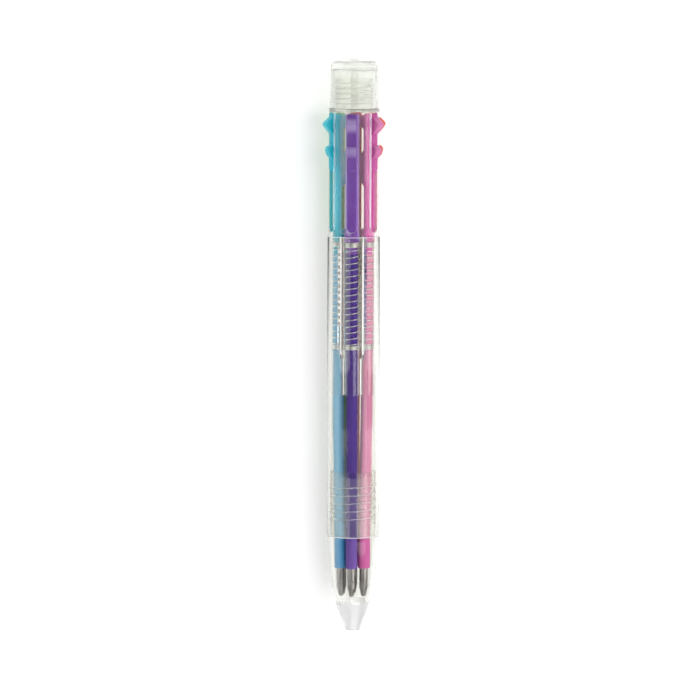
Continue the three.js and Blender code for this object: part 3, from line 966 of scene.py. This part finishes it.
def slider_pad():
    side = filleted(
        [
            (4.6, PAD_BOTTOM),
            (5.9, PAD_BOTTOM, 0.2),
            (6.35, PAD_BOTTOM + 0.8, 0.5),
            (6.4, 119.3, 0.5),
            (7.1, 120, 0.4),
            (7.6, 121.4, 0.45),
            (7.2, 122.1, 0.3),
            (6.3, 122.6, 0.3),
            (6.3, 125.3, 0.5),
            (7.6, 126.7, 0.5),
            (8.32, 127.7, 0.5),
            (7.7, 128.5, 0.5),
            (6.45, 129.5, 0.3),
            (6.2, SLIDER_TOP, 0.15),
            (4.6, SLIDER_TOP),
        ]
    )
    half = 1.15
    turns = [math.pi * (1 + i / 16) for i in range(17)]
    front = [(half * math.cos(a), PAD_BOTTOM + half + half * math.sin(a)) for a in turns]
    front += [(half, SLIDER_TOP), (-half, SLIDER_TOP)]
    pad = prism("pad", side, -2, 2, side_view)
    combined(pad, [prism("front", front, 3.5, 9.5, front_view)], "INTERSECT")
    return bevelled(pad, 0.22, 3)


def slider_rail():
    half = 1.6
    foot = 1.73
    taper_bottom, taper_top = 100.5, 101.7
    front = filleted(
        [
            (-foot, SLIDER_FOOT, 0.15),
            (foot, SLIDER_FOOT, 0.15),
            (foot, taper_bottom, 0.3),
            (half, taper_top, 0.3),
            (half, SLIDER_TOP, 0.15),
            (-half, SLIDER_TOP, 0.15),
            (-half, taper_top, 0.3),
            (-foot, taper_bottom, 0.3),
        ]
    )
    rail = prism("rail", front, 4, 6, front_view)
    collar = prism("collar", circle(half, 40, 0, STATION_RADIUS), SLIDER_FOOT, taper_top, along_axis)
    combined(rail, [collar], "UNION")
    bore = prism("bore", circle(5.25, 128), SLIDER_FOOT - 1, SLIDER_TOP + 1, along_axis)
    return bevelled(combined(rail, [bore], "INTERSECT"), 0.08, 2)


def slider_cams():
    outline = filleted(
        [
            (4.4, 112),
            (3.6, 112, 0.2),
            (1.4, 114.2, 0.3),
            (1.4, 119.6, 0.3),
            (3.1, 121.3, 0.4),
            (3.1, 126.5, 0.4),
            (2, 127.6, 0.3),
            (2, SLIDER_TOP - 0.4, 0.2),
            (4.4, SLIDER_TOP - 0.4),
        ]
    )
    return bevelled(prism("cams", outline, -0.5, 0.5, side_view), 0.1, 2)


def make_slider(colour):
    slider = slider_rail()
    slider.name = f"slider_{colour}_fine"
    tube_top = heights(f"refill_tube_{colour}")[1]
    peg_bottom = 89.5
    stem = prism("stem", circle(1.3, 32, 0, STATION_RADIUS), tube_top, SLIDER_FOOT + 0.5, along_axis)
    peg = prism("peg", circle(0.85, 24, 0, STATION_RADIUS), peg_bottom, tube_top + 0.5, along_axis)
    combined(slider, [slider_pad(), slider_cams(), stem, peg], "UNION")
    turned_to(slider, station_angle(colour))
    smooth(into_world(slider), 40)
    material = coloured_plastic(colour, *SLIDER_COLOURS[colour])
    dress(slider, material, f"slider_{colour}", f"slider_{colour}")


# ---- room ----
def make_floor():
    half = 3
    floor = new_object(
        "floor",
        [(-half, -half, 0), (half, -half, 0), (half, half, 0), (-half, half, 0)],
        [(0, 1, 2, 3)],
        Matrix.Identity(4),
    )
    shader = Shader("floor_paper")
    shader.set(Base_Color=(0.78, 0.78, 0.78, 1), Roughness=0.7, Specular_IOR_Level=0.1)
    shader.set(Emission_Color=(1, 1, 1, 1), Emission_Strength=0.5)
    floor.data.materials.append(shader.material)


def make_lamp(name, place, size, watts, glossy=True):
    data = bpy.data.lights.new(name, "AREA")
    data.shape = "RECTANGLE"
    data.size, data.size_y = size
    data.energy = watts
    lamp = bpy.data.objects.new(name, data)
    lamp.location = place
    aim = Vector((0, 0, AXIS_HEIGHT)) - Vector(place)
    lamp.rotation_euler = aim.to_track_quat("-Z", "Y").to_euler()
    lamp.visible_glossy = glossy
    bpy.context.scene.collection.objects.link(lamp)


def make_room():
    make_floor()
    make_lamp("overhead_softbox", (0.27, 0, 0.8), (0.5, 0.8), 3.5, glossy=False)
    make_lamp("cap_end_softbox", (0, 0.75, 0.5), (0.8, 0.4), 1.6)
    make_lamp("writing_end_softbox", (0, -0.75, 0.5), (0.8, 0.4), 2.2)
    make_lamp("right_softbox", (0.55, 0, 0.28), (0.14, 0.7), 0.6)
    make_lamp("left_softbox", (-0.6, 0, 0.25), (0.14, 0.7), 0.8)
    make_walls()


def make_walls():
    """Surroundings that are light near the floor and dim overhead."""
    world = bpy.data.worlds.new("studio")
    world.use_nodes = True
    nodes = world.node_tree.nodes
    links = world.node_tree.links
    direction = nodes.new("ShaderNodeTexCoord")
    split = nodes.new("ShaderNodeSeparateXYZ")
    fade = nodes.new("ShaderNodeMapRange")
    fade.interpolation_type = "SMOOTHSTEP"
    fade.inputs["From Min"].default_value = 0.05
    fade.inputs["From Max"].default_value = 0.75
    fade.inputs["To Min"].default_value = 0.75
    fade.inputs["To Max"].default_value = 0.25
    links.new(direction.outputs["Generated"], split.inputs["Vector"])
    links.new(split.outputs["Z"], fade.inputs["Value"])
    links.new(fade.outputs["Result"], nodes["Background"].inputs["Strength"])
    bpy.context.scene.world = world


def set_light_paths():
    """Colours as they are, and bounces enough for light to find its way through all the clear walls."""
    scene = bpy.context.scene
    scene.view_settings.view_transform = "Standard"
    scene.cycles.max_bounces = 24
    scene.cycles.glossy_bounces = 24
    scene.cycles.transmission_bounces = 24
    scene.cycles.transparent_max_bounces = 24


make_lower_barrel()
make_nose_cone()
make_upper_barrel()
make_top_cap()
make_refill_guide()
make_painted_glow_lines()
for colour in COLOURS:
    make_spring(colour)
    make_refill_tube(colour)
    make_writing_point(colour)
    make_slider(colour)
make_room()
set_light_paths()
